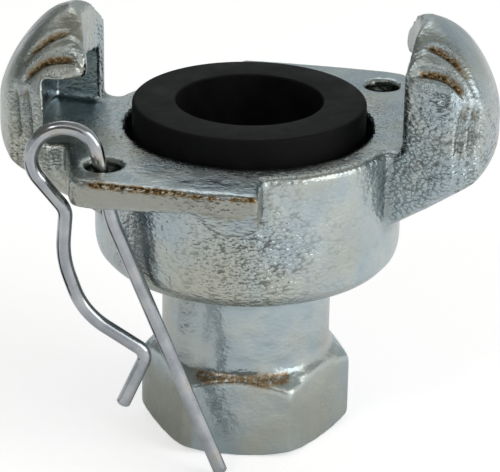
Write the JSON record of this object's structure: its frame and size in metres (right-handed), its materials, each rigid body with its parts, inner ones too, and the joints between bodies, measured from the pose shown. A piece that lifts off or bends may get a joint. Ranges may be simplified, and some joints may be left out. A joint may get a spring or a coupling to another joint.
{
  "type": "claw hose coupling",
  "caption": "Claw type air hose coupling half with a hex pipe-thread end, hooked claws, cam ledges, rubber face gasket and a spring-wire safety clip.",
  "frame": {"origin": "centre of the hex end face, on the bore's axis", "axes": "+Z along the bore from the threaded hex end to the gasket face, +X through the two claws, the safety clip hangs at -X -Y"},
  "size_m": [0.0708, 0.0566, 0.0633],
  "materials": {
    "zinc_plated_iron": "zinc plated over a cast skin, pebbly outside and smoother on the machined face",
    "gasket_rubber": "matt black moulded rubber",
    "spring_wire": "bright zinc plated drawn wire"
  },
  "bodies": {
    "coupling": {"coupling_body": "zinc_plated_iron", "gasket": "gasket_rubber"},
    "clip": {"safety_clip": "spring_wire"}
  },
  "joints": [
    {"name": "clip_swing", "type": "hinge", "parent": "coupling", "child": "clip", "pos_m": [-0.01967, -0.01764, 0.0444], "axis": [1, 0, 0], "range_deg": [-15, 0]}
  ]
}
